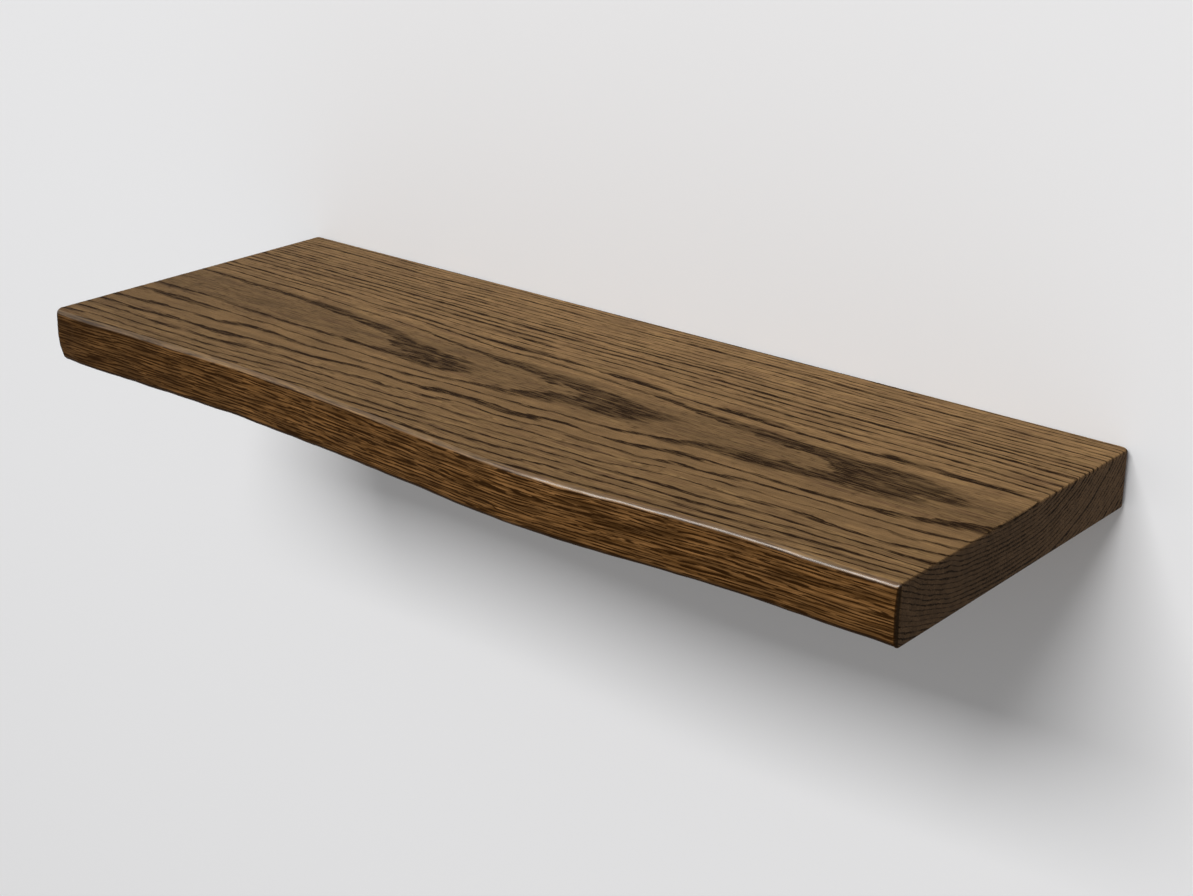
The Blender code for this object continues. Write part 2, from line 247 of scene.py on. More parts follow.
# The stem's sweep along the board, from the left end to the right: how far its centre strays to
# the front, and its height over the top face, in millimetres. Where the height dwells, a ring
# lies almost in the top face, and its pores show as a broad dark tongue.
SWEEP = (0.0, 0.20, 0.33, 0.43, 0.49, 0.57, 0.65, 0.72, 0.83, 0.94, 1.0)
SWEEP_STRAY = (0, 1, 7, 14, 6, 4, 6, 2, 0, -5, -8)
SWEEP_HEIGHT = (64.1, 64.7, 65.8, 66.9, 68.3, 69.1, 69.8, 71.2, 72.0, 72.9, 74.0)
SWEEP_RANGE = 60.0

# Growth towards the live edge: its share at the right end, and how far from the plane through the
# pith the right half's rings get broader once more, in millimetres
RIGHT_GROWTH = 0.38
OUTER_START = 70.0

# How lively the grain waves, from the front to the wall
LIVELY = ((0.0, 0.4), (0.26, 1.0), (0.48, 0.6), (0.62, 0.26), (1.0, 0.16))

# Waves of the grain, then the fibres' jitter: length and width of a wave, its detail, and how far
# it moves the grain sideways and in height, in millimetres
WAVES = ((190, 60, 0.0, 30, 1.2), (75, 22, 1.0, 15, 1.0))
JITTER = (12, 2.2, 1.0, 1.7, 0.6)

# Shares of the board's depth between which the fibres turn to follow the live edge
EDGE_FIBRES = (0.62, 0.80)

# Spacing of the rows of open pores on the live edge, and how far they stray, in millimetres
ROW_SPACING = 2.7
ROW_DRIFT = 9.0

# How dark a year's row of pores is across its width, how much broader it is over the heart, and how
# much sparser its pores are there and on the live edge
ROW_SECTION = ((0.0, 0.0), (0.08, 1.0), (0.58, 0.95), (0.95, 0.0))
HEART_WIDENING = 0.15
THINNING = -0.03

# Depth of an open pore, and how much light the stain over the heart lets through
PORE_DEPTH = 0.08 * MM
HEART_STAIN = 0.73

# Grains of the noises: length and width in millimetres, and detail
WIDTH_GRAIN = (60, 8, 2.0)
PORE_GRAIN = (15, 0.75, 2.0)
FADING_GRAIN = (42, 3, 2.0)
VESSEL_GRAIN = (10, 0.75, 1.0)
DRIFT_GRAIN = (70, 6, 2.0)
DASH_GRAIN = (14, 1.3, 2.0)
STREAK_GRAIN = (45, 1.0, 3.0)
CLOUD_GRAIN = (50, 7, 2.0)
BLOTCH_GRAIN = (30, 8, 3.0)


def stretched_noise(tree, point, along, across, detail):
    """Noise whose grains are stretched along the fibres; sizes are in millimetres."""
    spread = node(tree, "VectorMath", {0: point, 1: (1 / along, 1 / across, 1 / across)}, "MULTIPLY")
    return node(tree, "TexNoise", {"Vector": spread, "Scale": 1.0, "Detail": detail})


def ranged_noise(tree, point, grain, levels, values=(0.0, 1.0)):
    """Stretched noise of one grain, turned from between two levels to between two values."""
    return node(tree, "MapRange", {"Value": stretched_noise(tree, point, *grain),
                                   "From Min": levels[0], "From Max": levels[1],
                                   "To Min": values[0], "To Max": values[1]})


def in_millimetres(tree, place):
    """Object coordinates in millimetres."""
    return node(tree, "VectorMath", {0: place.outputs["Object"], "Scale": 1 / MM}, "SCALE")


def share_along(tree, x):
    """How far along the board a point lies, from 0 at the left end to 1 at the right."""
    return node(tree, "MapRange", {"Value": x, "From Min": LEFT, "From Max": RIGHT})


def past_pith(tree, y, sizes):
    """How far a point lies from the plane through the pith, towards the wall."""
    return node(tree, "Math", {0: y, 1: sizes.pith_depth / MM}, "ADD")


def live_edge_course():
    """Where the live edge runs: shares of the board's length, each with the edge's depth in mm."""
    course = [0.0] * EDGE_STATIONS
    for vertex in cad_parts[BOARD_NODE].data.vertices:
        place = (vertex.co.x / MM - LEFT) / (RIGHT - LEFT) * (EDGE_STATIONS - 1)
        station = round(place)
        if abs(place - station) < STATION_REACH:
            course[station] = min(course[station], vertex.co.y / MM)
    return [(station / (EDGE_STATIONS - 1), depth) for station, depth in enumerate(course)]


def fibres_along_edge(tree, point):
    """The point moved so that the outermost fibres run along the live edge, as they grew."""
    x, y, _ = node(tree, "SeparateXYZ", {0: point}).outputs
    stops = [(place, depth / FRONT) for place, depth in live_edge_course()]
    course = node(tree, "ValToRGB", {"Fac": share_along(tree, x)}, stops=stops)
    course.color_ramp.interpolation = "CARDINAL"
    start, full = (share * FRONT for share in EDGE_FIBRES)
    outer = node(tree, "MapRange", {"Value": y, "From Min": start, "From Max": full, "To Max": -FRONT},
                 interpolation_type="SMOOTHSTEP")
    shift = node(tree, "Math", {0: course, 1: outer}, "MULTIPLY")
    shift = node(tree, "CombineXYZ", {"Y": shift})
    return node(tree, "VectorMath", {0: point, 1: shift}, "ADD")


def bent_grain(tree, point):
    """The point moved across the grain by the grain's waves and the fibres' jitter."""
    y = node(tree, "SeparateXYZ", {0: point}).outputs["Y"]
    depth = node(tree, "MapRange", {"Value": y, "From Min": FRONT, "From Max": 0.0})
    lively = node(tree, "ValToRGB", {"Fac": depth}, stops=LIVELY)
    bent = point
    for wave in (*WAVES, JITTER):
        along, across, detail, sideways, upwards = wave
        moved = stretched_noise(tree, point, along, across, detail)
        moved = node(tree, "VectorMath", {0: moved.outputs["Color"], 1: (0.5, 0.5, 0.5)}, "SUBTRACT")
        if wave is not JITTER:
            moved = node(tree, "VectorMath", {0: moved, "Scale": lively}, "SCALE")
        bent = node(tree, "VectorMath", {0: moved, 1: (0, sideways, upwards), 2: bent}, "MULTIPLY_ADD")
    return bent


def sweep_along(tree, share, values):
    """A smooth curve through the stem's values along the board."""
    base = min(values)
    stops = [(place, (value - base) / SWEEP_RANGE) for place, value in zip(SWEEP, values)]
    curve = node(tree, "ValToRGB", {"Fac": share}, stops=stops)
    curve.color_ramp.interpolation = "CARDINAL"
    return node(tree, "Math", {0: curve, 1: SWEEP_RANGE, 2: base}, "MULTIPLY_ADD")


def ring_reach(tree, side, share, sizes):
    """Distance from the pith as the rings see it: flat over the heart, and broader outside."""
    away = node(tree, "Math", {0: side}, "ABSOLUTE")
    tight = sizes.tight_reach / MM
    flat = node(tree, "Math", {0: away, 1: tight}, "MINIMUM")
    reach = node(tree, "Math", {0: flat, 1: -sizes.heart_flatness, 2: away}, "MULTIPLY_ADD")
    broad = node(tree, "MapRange", {"Value": share, "To Min": sizes.front_growth,
                                    "To Max": RIGHT_GROWTH * sizes.front_growth})
    outer = node(tree, "MapRange", {"Value": share, "From Min": 0.3, "From Max": 0.6, "To Max": 0.22})
    growths = ((1.0, tight, sizes.rear_growth), (-1.0, tight, broad), (-1.0, OUTER_START, outer))
    for turned, start, growth in growths:
        past = node(tree, "Math", {0: side, 1: turned, 2: -start}, "MULTIPLY_ADD")
        past = node(tree, "Math", {0: past, 1: 0.0}, "MAXIMUM")
        past = node(tree, "Math", {0: past, 1: growth}, "MULTIPLY")
        reach = node(tree, "Math", {0: reach, 1: past}, "SUBTRACT")
    return reach


def growth_years(tree, bent, sizes):
    """Years of growth from the pith, which lies over the board and climbs to the right."""
    x, y, z = node(tree, "SeparateXYZ", {0: bent}).outputs
    share = share_along(tree, x)
    side = past_pith(tree, y, sizes)
    away = node(tree, "Math", {0: side}, "ABSOLUTE")
    near = node(tree, "MapRange",
                {"Value": away, "From Min": 12, "From Max": 75, "To Min": 1.0, "To Max": 0.0},
                interpolation_type="SMOOTHSTEP")
    stray = sweep_along(tree, share, SWEEP_STRAY)
    side = node(tree, "Math", {0: stray, 1: near, 2: side}, "MULTIPLY_ADD")

    # The sweep shows most over the heart; further out the grain runs straighter
    middle = sum(SWEEP_HEIGHT) / len(SWEEP_HEIGHT)
    climb = sweep_along(tree, share, SWEEP_HEIGHT)
    climb = node(tree, "Math", {0: climb, 1: middle}, "SUBTRACT")
    shown = node(tree, "MapRange", {"Value": near, "To Min": 0.35})
    climb = node(tree, "Math", {0: climb, 1: shown}, "MULTIPLY")
    height = node(tree, "Math", {0: z, 1: TOP + middle}, "SUBTRACT")
    height = node(tree, "Math", {0: height, 1: climb}, "SUBTRACT")
    reach = ring_reach(tree, side, share, sizes)
    cross = node(tree, "CombineXYZ", {"Y": reach, "Z": height})
    radius = node(tree, "VectorMath", {0: cross}, "LENGTH")
    years = node(tree, "Math", {0: radius, 1: MM / sizes.ring_width}, "MULTIPLY")

    # Good and poor years make the rows towards the wall unevenly broad
    seasons = node(tree, "TexNoise", {"W": years, "Scale": 1.1, "Detail": 0.0}, noise_dimensions="1D")
    seasons = node(tree, "Math", {0: seasons, 1: 0.5}, "SUBTRACT")
    tight = sizes.tight_reach / MM
    depth = node(tree, "MapRange",
                 {"Value": side, "From Min": tight, "From Max": 2 * tight, "To Max": 0.7})
    return node(tree, "Math", {0: seasons, 1: depth, 2: years}, "MULTIPLY_ADD")


def over_heart(tree, point, sizes, elsewhere, there):
    """A value that the strip of the board over the tree's heart has, and the value of the rest."""
    y = node(tree, "SeparateXYZ", {0: point}).outputs["Y"]
    side = past_pith(tree, y, sizes)
    side = node(tree, "Math", {0: side}, "ABSOLUTE")
    return node(tree, "MapRange",
                {"Value": side, "From Min": 38, "From Max": 14, "To Min": elsewhere, "To Max": there},
                interpolation_type="SMOOTHSTEP")


def pore_lines(tree, point, years, live, sizes):
    """Strength of the dark lines: the rows of open pores that start each year's growth."""
    into_year = node(tree, "Math", {0: years}, "FRACT")
    year = node(tree, "Math", {0: years}, "FLOOR")
    chance = node(tree, "TexWhiteNoise", {"W": year}, noise_dimensions="1D")
    heart = over_heart(tree, point, sizes, 0.0, 1.0)

    # A year's row is as broad as its chance and the place make it, and broadest over the heart
    width = ranged_noise(tree, point, WIDTH_GRAIN, (0.36, 0.64), (0.20, 0.52))
    width = node(tree, "Math", {0: heart, 1: HEART_WIDENING, 2: width}, "MULTIPLY_ADD")
    uneven = node(tree, "MapRange", {"Value": chance, "To Min": 0.75, "To Max": 1.25})
    width = node(tree, "Math", {0: width, 1: uneven}, "MULTIPLY")
    place = node(tree, "Math", {0: into_year, 1: width}, "DIVIDE")
    line = node(tree, "ValToRGB", {"Fac": place}, stops=ROW_SECTION)

    # Pores open and close along a row, and the row fades in and out
    pores = stretched_noise(tree, point, *PORE_GRAIN)
    crowded = node(tree, "Math", {0: heart, 1: live}, "MAXIMUM")
    pores = node(tree, "Math", {0: crowded, 1: THINNING, 2: pores}, "MULTIPLY_ADD")
    dense = node(tree, "MapRange",
                 {"Value": pores, "From Min": 0.36, "From Max": 0.47, "To Min": 0.25, "To Max": 1.0})
    fade = ranged_noise(tree, point, FADING_GRAIN, (0.36, 0.56), (0.55, 1.3))
    strong = node(tree, "MapRange", {"Value": chance, "To Min": 0.78, "To Max": 1.25})
    weaker = node(tree, "MapRange", {"Value": live, "To Min": 1.0, "To Max": 0.6})
    for share in (dense, fade, strong, weaker):
        line = node(tree, "Math", {0: line, 1: share}, "MULTIPLY")
    return node(tree, "Math", {0: line, 1: 1.0}, "MINIMUM")


def open_vessels(tree, point, live, sizes):
    """Open pores between the years' rows: short faint dashes, and on the live edge long dark ones."""
    strength = over_heart(tree, point, sizes, 0.5, 0.65)
    short = ranged_noise(tree, point, VESSEL_GRAIN, (0.55, 0.67), (0.0, strength))

    # On the live edge they lie in close, almost level rows
    z = node(tree, "SeparateXYZ", {0: point}).outputs["Z"]
    drift = stretched_noise(tree, point, *DRIFT_GRAIN)
    level = node(tree, "Math", {0: drift, 1: ROW_DRIFT, 2: z}, "MULTIPLY_ADD")
    aside = node(tree, "Math", {0: level, 1: ROW_SPACING / 2}, "PINGPONG")
    row = node(tree, "MapRange", {"Value": aside, "From Min": 0.80, "From Max": 0.46, "To Max": 0.95})
    dashes = ranged_noise(tree, point, DASH_GRAIN, (0.39, 0.47))
    long = node(tree, "Math", {0: row, 1: dashes}, "MULTIPLY")
    return node(tree, "Mix", {"Factor": live, "A": short, "B": long})


def stain_depth(tree, point, faces, sizes):
    """How much light the stain lets through.

    The top is lighter towards the wall, a painted reflection of the wall, and darker at its left end
    and over the tree's heart. The live edge is darker at its left end, and darkened as painted shade
    under its lower arris and a little on its upper arris. The ends are lighter towards the wall, and
    the upright arrises are darker.
    """
    x, y, _ = node(tree, "SeparateXYZ", {0: point}).outputs
    depth = {"Value": y, "From Min": FRONT, "From Max": 0.0}
    left = {"Value": x, "From Min": -120, "From Max": LEFT}
    # Painted reflection: the top gets lighter towards the wall, where it would mirror the pale wall
    top = node(tree, "MapRange", {**depth, "To Min": 0.84, "To Max": 1.24})
    corner = node(tree, "MapRange", {**left, "To Min": 1.0, "To Max": 0.84})
    for share in (corner, over_heart(tree, point, sizes, 1.0, HEART_STAIN)):
        top = node(tree, "Math", {0: top, 1: share}, "MULTIPLY")
    edge = node(tree, "MapRange", {**left, "To Min": 1.07, "To Max": 0.58})
    # Painted shade: the live edge darkens under its lower arris, where its faces turn downwards
    underside_painted_shade = node(tree, "MapRange", {"Value": faces["height"], "From Min": -0.05, "From Max": -0.5,
                                    "To Min": 1.0, "To Max": 0.2})
    edge = node(tree, "Math", {0: edge, 1: underside_painted_shade}, "MULTIPLY")
    side = node(tree, "Mix", {"Factor": faces["live"], "A": top, "B": edge})
    tail = node(tree, "MapRange", {**depth, "From Min": 0.6 * FRONT, "To Min": 0.95, "To Max": 1.42})
    stain = node(tree, "Mix", {"Factor": faces["end"], "A": side, "B": tail})
    upright_darkening = node(tree, "MapRange", {"Value": faces["upright"], "From Min": 0.22, "From Max": 0.38,
                                       "To Min": 1.0, "To Max": 0.22})
    # Painted shade: the live edge's upper arris is darkened a little, holding down the light that falls
    # on it
    little = node(tree, "MapRange", {"Value": faces["brow"], "To Min": 1.0, "To Max": 0.8})
    for share in (upright_darkening, little):
        stain = node(tree, "Math", {0: stain, 1: share}, "MULTIPLY")
    return stain


def cut_later(tree, point):
    """1 inside the pockets and bores in the back, which were cut after staining, and 0 elsewhere."""
    x, y, z = node(tree, "SeparateXYZ", {0: point}).outputs
    half = SUPPORT_SPACING / MM / 2
    nearest = node(tree, "Math", {0: x, 1: half, 2: -half}, "WRAP")
    inside = 1.0
    for value, middle, reach in ((nearest, 0.0, POCKET_HALF_WIDTH), (z, 0.0, POCKET_HALF_HEIGHT),
                                 (y, BORE_MIDDLE, BORE_HALF_LENGTH)):
        close = node(tree, "Math", {0: value, 1: middle, 2: reach}, "COMPARE")
        inside = node(tree, "Math", {0: inside, 1: close}, "MULTIPLY")
    return inside


def board_faces(tree, normal):
    """Which face a point is on, each from 0 to 1, and how much that face looks up.

    The brow is the live edge's upper arris, and the upright arrises are the board's corners.
    """
    x, y, z = node(tree, "SeparateXYZ", {0: normal}).outputs
    forward = node(tree, "Math", {0: y}, "ABSOLUTE")
    endways = node(tree, "Math", {0: x}, "ABSOLUTE")
    faces = {"height": z, "upright": node(tree, "Math", {0: forward, 1: endways}, "MULTIPLY")}
    for name, value, start, full in (("live", forward, 0.35, 0.8), ("end", endways, 0.3, 0.8),
                                     ("upper", z, 0.25, 0.6), ("front", y, -0.2, -0.5)):
        faces[name] = node(tree, "MapRange", {"Value": value, "From Min": start, "From Max": full},
                           interpolation_type="SMOOTHSTEP")
    faces["brow"] = node(tree, "Math", {0: faces["upper"], 1: faces["front"]}, "MULTIPLY")
    return faces


def face_colour(tree, faces, sizes, part):
    """The colour that one part of the wood has on the face that a point is on."""
    top, live, end = (hex_colour(getattr(sizes, f"{face}_{part}")) for face in ("top", "live", "end"))
    mixed = node(tree, "Mix", {"Factor": faces["live"], "A": top, "B": live}, data_type="RGBA")
    for face, colour in (("upper", top), ("end", end)):
        mixed = node(tree, "Mix", {"Factor": faces[face], "A": mixed, "B": colour}, data_type="RGBA")
    return mixed


def lacquer(tree, shader, colour, dark, faces):
    """Satin lacquer: it sinks into the pores and fills them on the rounded arrises.

    It is rubbed matt but for the live edge's upper arris, which it left glossy.
    """
    level = node(tree, "Math", {0: faces["height"], 1: faces["height"]}, "MULTIPLY")
    steep = node(tree, "Math", {0: 1.0, 1: level}, "SUBTRACT")
    arris = node(tree, "Math", {0: level, 1: steep}, "MULTIPLY")
    groove = node(tree, "MapRange", {"Value": arris, "From Max": 0.2, "To Min": 1.0, "To Max": 0.0})
    groove = node(tree, "Math", {0: dark, 1: groove}, "MULTIPLY")
    height = node(tree, "Math", {0: 1.0, 1: groove}, "SUBTRACT")
    relief = node(tree, "Bump", {"Strength": 0.5, "Distance": PORE_DEPTH, "Height": height})
    rubbed = node(tree, "MapRange", {"Value": groove, "To Min": 0.48, "To Max": 0.60})
    gloss = node(tree, "Mix", {"Factor": faces["brow"], "A": rubbed, "B": 0.30})
    shine = node(tree, "MapRange", {"Value": faces["brow"], "To Min": 0.015, "To Max": 0.3})
    set_inputs(tree, shader,
               {"Base Color": colour, "Normal": relief, "Roughness": gloss, "Specular IOR Level": shine})


def oak_material(sizes):
    """Flat sawn oak under dark stain and satin lacquer.

    The growth rings are tubes round a pith that lies over the board, so one solid
    pattern gives cathedrals on the top, lines on the live edge and arcs on the ends.
    The stain takes darker on the live edge and darkest on the open end grain.
    """
    material, tree, shader = new_material("stained flat sawn oak")
    place = node(tree, "TexCoord")
    point = in_millimetres(tree, place)
    years = growth_years(tree, bent_grain(tree, point), sizes)
    faces = board_faces(tree, place.outputs["Normal"])
    grown = fibres_along_edge(tree, point)

    # Lighter fibres run through the wood, and the stain took unevenly in clouds and blotches
    streak = ranged_noise(tree, grown, STREAK_GRAIN, (0.34, 0.66))
    wood = node(tree, "Mix",
                {"Factor": streak, "A": face_colour(tree, faces, sizes, "wood"),
                 "B": face_colour(tree, faces, sizes, "streak")}, data_type="RGBA")
    clouds = ranged_noise(tree, point, CLOUD_GRAIN, (0.3, 0.7), (0.80, 1.18))
    blotches = ranged_noise(tree, grown, BLOTCH_GRAIN, (0.36, 0.64), (0.70, 1.22))
    uneven = node(tree, "Mix", {"Factor": faces["live"], "A": clouds, "B": blotches})
    uneven = node(tree, "Math", {0: uneven, 1: stain_depth(tree, point, faces, sizes)}, "MULTIPLY")
    wood = node(tree, "VectorMath", {0: wood, "Scale": uneven}, "SCALE")
    wood = node(tree, "Mix",
                {"Factor": cut_later(tree, point), "A": wood, "B": hex_colour(sizes.raw_wood)},
                data_type="RGBA")

    # The stain is darkest in the open pores, but for the brow, where lacquer fills them
    dark = node(tree, "Math",
                {0: pore_lines(tree, point, years, faces["live"], sizes),
                 1: open_vessels(tree, grown, faces["live"], sizes)}, "MAXIMUM")
    filled = node(tree, "MapRange", {"Value": faces["brow"], "To Min": 1.0, "To Max": 0.6})
    dark = node(tree, "Math", {0: dark, 1: filled}, "MULTIPLY")
    colour = node(tree, "Mix", {"Factor": dark, "A": wood, "B": face_colour(tree, faces, sizes, "pore")},
                  data_type="RGBA")
    lacquer(tree, shader, colour, dark, faces)
    return material


# The uneven live edge, in millimetres: spacing of the cuts across the board, the depth past which
# it is dented, how gradually the dents set in, and the height from which an arris follows them
CUT_SPACING = 5
DENTED_PAST = -262
DENT_FADE = 12
ARRIS_HEIGHT = 16

# Large and small dents: their length and height in millimetres, place in the noise, and depth
DENTS = ((34, 17, 3.1, 1.0), (13, 8, 7.7, 0.5))


def board_copy():
    """The CAD board's mesh, merged, with its flat faces whole again."""
    bm = bmesh.new()
    bm.from_mesh(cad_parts[BOARD_NODE].data)
    bmesh.ops.remove_doubles(bm, verts=bm.verts, dist=BOARD_MERGED)
    bmesh.ops.dissolve_limit(bm, angle_limit=math.radians(0.3), verts=bm.verts, edges=bm.edges)
    return bm


def wane(bm, reach):
    """Let the live edge and its rounded arrises run a little uneven, always inwards."""
    step = CUT_SPACING * MM
    cut = BOARD_LOW[0] + 1.5 * step
    while cut < BOARD_HIGH[0] - step:
        bmesh.ops.bisect_plane(bm, geom=bm.verts[:] + bm.edges[:] + bm.faces[:], dist=MERGED,
                               plane_co=(cut, 0, 0), plane_no=(1, 0, 0))
        cut += step
    for vertex in bm.verts:
        x, y, z = vertex.co / MM
        share = min(1.0, max(0.0, (DENTED_PAST - y) / DENT_FADE))
        ends = min(1.0, (x - LEFT) / DENT_FADE, (RIGHT - x) / DENT_FADE)
        if share <= 0 or ends <= 0:
            continue
        dents = sum(depth * noise.noise((x / along, z / upwards, place))
                    for along, upwards, place, depth in DENTS)
        dip = share * ends * reach * min(1.0, max(0.0, 0.5 + 0.9 * dents))
        vertex.co.y += dip
        on_face = abs(abs(z) - TOP) < 0.01
        if abs(z) > ARRIS_HEIGHT and not on_face:
            vertex.co.z -= math.copysign(0.5 * dip, z)


class SHELF_OT_board(bpy.types.Operator):
    """Model the oak board's fine shape and finish it"""

    bl_idname = "shelf.board"
    bl_label = "Oak Board"

    def execute(self, context):
        sizes = context.scene.oak_sizes
        bm = board_copy()
        wane(bm, sizes.unevenness)
        board = add_piece(bm, "oak_board")
        # Flat faces keep their own normals, so that only the rounded arrises shade round
        flat = board.modifiers.new("flat faces", "WEIGHTED_NORMAL")
        flat.keep_sharp = True
        dress(board, oak_material(sizes))
        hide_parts(BOARD_NODE)
        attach(board, BOARD_BODY)
        return {"FINISHED"}


# Finish of the plated steel: its clouds' size in millimetres, their colours and how much rougher
# they are, and its rolling or drawing marks, coarser than real so that they show
ZINC_CLOUD = 6
STEEL_CLOUD = "9fa6ad"
YELLOW_CLOUD = "b88f52"
CLOUD_ROUGHNESS = 0.12
MARK_GRAIN = (9, 0.35, 2.0)
MARK_DEPTH = 0.02 * MM

# Finish of the nylon, in millimetres: its mould's spark texture and its flow marks
GRIT_SIZE = 0.4
GRIT_DEPTH = 0.03 * MM
FLOW_SIZE = 9
FLOW_PALENESS = 1.18


def zinc_material(name, colour, cloud_colour, roughness, turned=False):
    """Electroplated zinc: a thin bright coat whose passivation clouds from place to place.

    Rolling marks run along the strip, and on a turned pattern drawing marks along the bar.
    """
    material, tree, shader = new_material(name)
    point = in_millimetres(tree, node(tree, "TexCoord"))
    clouds = node(tree, "TexNoise", {"Vector": point, "Scale": 1 / ZINC_CLOUD, "Detail": 3.0})
    share = node(tree, "MapRange", {"Value": clouds, "From Min": 0.36, "From Max": 0.66})
    tint = node(tree, "Mix", {"Factor": share, "A": hex_colour(colour), "B": hex_colour(cloud_colour)},
                data_type="RGBA")
    gloss = node(tree, "MapRange",
                 {"Value": share, "To Min": roughness, "To Max": roughness + CLOUD_ROUGHNESS})
    if turned:
        point = node(tree, "Mapping", {"Vector": point, "Rotation": (0, 0, math.radians(90))})
    marks = stretched_noise(tree, point, *MARK_GRAIN)
    relief = node(tree, "Bump", {"Strength": 0.25, "Distance": MARK_DEPTH, "Height": marks})
    set_inputs(tree, shader, {"Base Color": tint, "Roughness": gloss, "Normal": relief, "Metallic": 1.0})
    return material


def nylon_material(colour):
    """Moulded nylon: an even, slightly waxy grey with the fine spark texture of its mould."""
    material, tree, shader = new_material("moulded grey nylon")
    point = in_millimetres(tree, node(tree, "TexCoord"))
    grit = node(tree, "TexNoise", {"Vector": point, "Scale": 1 / GRIT_SIZE, "Detail": 2.0})
    flow = node(tree, "TexNoise", {"Vector": point, "Scale": 1 / FLOW_SIZE, "Detail": 1.0})
    base = hex_colour(colour)
    pale = tuple(min(channel * FLOW_PALENESS, 1.0) for channel in base)
    tint = node(tree, "Mix", {"Factor": flow, "A": base, "B": pale}, data_type="RGBA")
    gloss = node(tree, "MapRange", {"Value": grit, "To Min": 0.40, "To Max": 0.60})
    relief = node(tree, "Bump", {"Strength": 0.3, "Distance": GRIT_DEPTH, "Height": grit})
    set_inputs(tree, shader, {"Base Color": tint, "Roughness": gloss, "Normal": relief, "IOR": 1.53})
    return material


def spin_profile(bm, profile, steps):
    """Turn a half section, given as pairs of radius and depth, about an axis into the wall."""
    corners = [bm.verts.new((radius, depth, 0)) for radius, depth in profile]
    lines = [bm.edges.new(pair) for pair in zip(corners, corners[1:])]
    bmesh.ops.spin(bm, geom=corners + lines, cent=(0, 0, 0), axis=(0, 1, 0),
                   angle=math.tau, steps=steps, use_merge=True)
    bmesh.ops.remove_doubles(bm, verts=bm.verts, dist=MERGED)


class SHELF_OT_plates(bpy.types.Operator):
    """Finish the steel plates behind the board"""

    bl_idname = "shelf.plates"
    bl_label = "Support Plates"

    def execute(self, context):
        steel = context.scene.support_sizes.steel
        finish = zinc_material("zinc plated strip steel", steel, STEEL_CLOUD, 0.24)
        for place in PLACES:
            dress(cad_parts[f"{place}_support_plate"], finish)
        return {"FINISHED"}


# A rod: steps round it, radius of its tenon, and the radius and angles of its rounded nose
ROD_STEPS = 120
TENON_RADIUS = 4 * MM
NOSE_RADIUS = 2 * MM
NOSE_ANGLES = (0, 22, 45, 68, 90)

# Section of the weld in shares of its width, out from the rod and forward from the plate, and how
# far it starts before the plate's face
WELD_SECTION = ((1.0, 0.0), (0.72, 0.38), (0.40, 0.66), (0.12, 0.90), (0.0, 1.0))
WELD_GAP = 0.02 * MM

# The weld's ripples: their number, their lean in radians per metre, and how deep they are and wander
RIPPLES = 26
RIPPLE_LEAN = 900
RIPPLE_DEPTH = 0.030
WANDER_DEPTH = 0.012


def rod_profile(sizes, tip, back, foot):
    """Half section of a rod: its tenon, its weld on the plate, its bar and its rounded nose."""
    radius = sizes.rod_diameter / 2
    weld = sizes.weld_width
    bead = [(radius + weld * out, foot - weld * forward) for out, forward in WELD_SECTION]
    bar = [(radius, foot - weld - beyond * MM) for beyond in (0.25, 2)]
    nose = [(radius - NOSE_RADIUS * (1 - math.cos(turn)), tip + NOSE_RADIUS * (1 - math.sin(turn)))
            for turn in map(math.radians, NOSE_ANGLES)]
    return [(0.0, back), (TENON_RADIUS, back), (TENON_RADIUS, foot), *bead, *bar, *nose, (0.0, tip)]


def ripple_weld(bm, sizes, foot, centre):
    """Press overlapping ripples into the weld, as its pool froze round the rod."""
    radius = sizes.rod_diameter / 2
    for vertex in bm.verts:
        out = math.hypot(vertex.co.x, vertex.co.z)
        if out > radius + 0.05 * MM and vertex.co.y < foot - 0.1 * MM:
            turn = math.atan2(vertex.co.z, vertex.co.x)
            ripple = 1 + RIPPLE_DEPTH * math.sin(RIPPLES * turn + RIPPLE_LEAN * (vertex.co.y - foot))
            place = (math.cos(turn) * 2, math.sin(turn) * 2, centre * 40)
            wander = 1 + WANDER_DEPTH * noise.noise(place)
            push = min(ripple * wander, (radius + sizes.weld_width) / out)
            vertex.co.x *= push
            vertex.co.z *= push


class SHELF_OT_rods(bpy.types.Operator):
    """Model the rods that carry the board, each with its weld"""

    bl_idname = "shelf.rods"
    bl_label = "Support Rods"

    def execute(self, context):
        sizes = context.scene.support_sizes
        finish = zinc_material("zinc plated drawn steel", sizes.steel, STEEL_CLOUD, 0.22, turned=True)
        for place in PLACES:
            solid = f"{place}_support_rod"
            low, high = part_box(solid)
            centre = (low[0] + high[0]) / 2
            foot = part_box(f"{place}_support_plate")[0][1] - WELD_GAP
            bm = bmesh.new()
            spin_profile(bm, rod_profile(sizes, low[1], high[1], foot), ROD_STEPS)
            ripple_weld(bm, sizes, foot, centre)
            bmesh.ops.translate(bm, verts=bm.verts, vec=(centre, 0, 0))
            rod = add_piece(bm, f"{place}_welded_rod", TURNED_SHARP_ANGLE)
            dress(rod, finish)
            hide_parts(solid)
            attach(rod, WALL_BODY)
        return {"FINISHED"}


# Steps round a screw or a plug, and in one turn of a thread
FIXING_STEPS = 48
THREAD_STEPS = 36

# A screw's core and shank as shares of its thread's radius, its head's rim and its taper
CORE_SHARE = 0.64
SHANK_SHARE = 0.80
HEAD_RIM = 0.6 * MM
TAPER = 9 * MM

# The drive recess: its middle radius, the depth of its lobes, its own depth and its floor's
RECESS_RADIUS = 2.15 * MM
LOBE_DEPTH = 0.38 * MM
RECESS_DEPTH = 2.4 * MM
FLOOR_DEPTH = 0.9 * MM

# The thread: half its width, its root as a share of the core's radius, and the length it rises over
THREAD_HALF = 0.62 * MM
THREAD_ROOT = 0.9
THREAD_RISE = 3 * MM

# How much further round each screw stopped than the one before, in radians
SCREW_TURN = 1.1


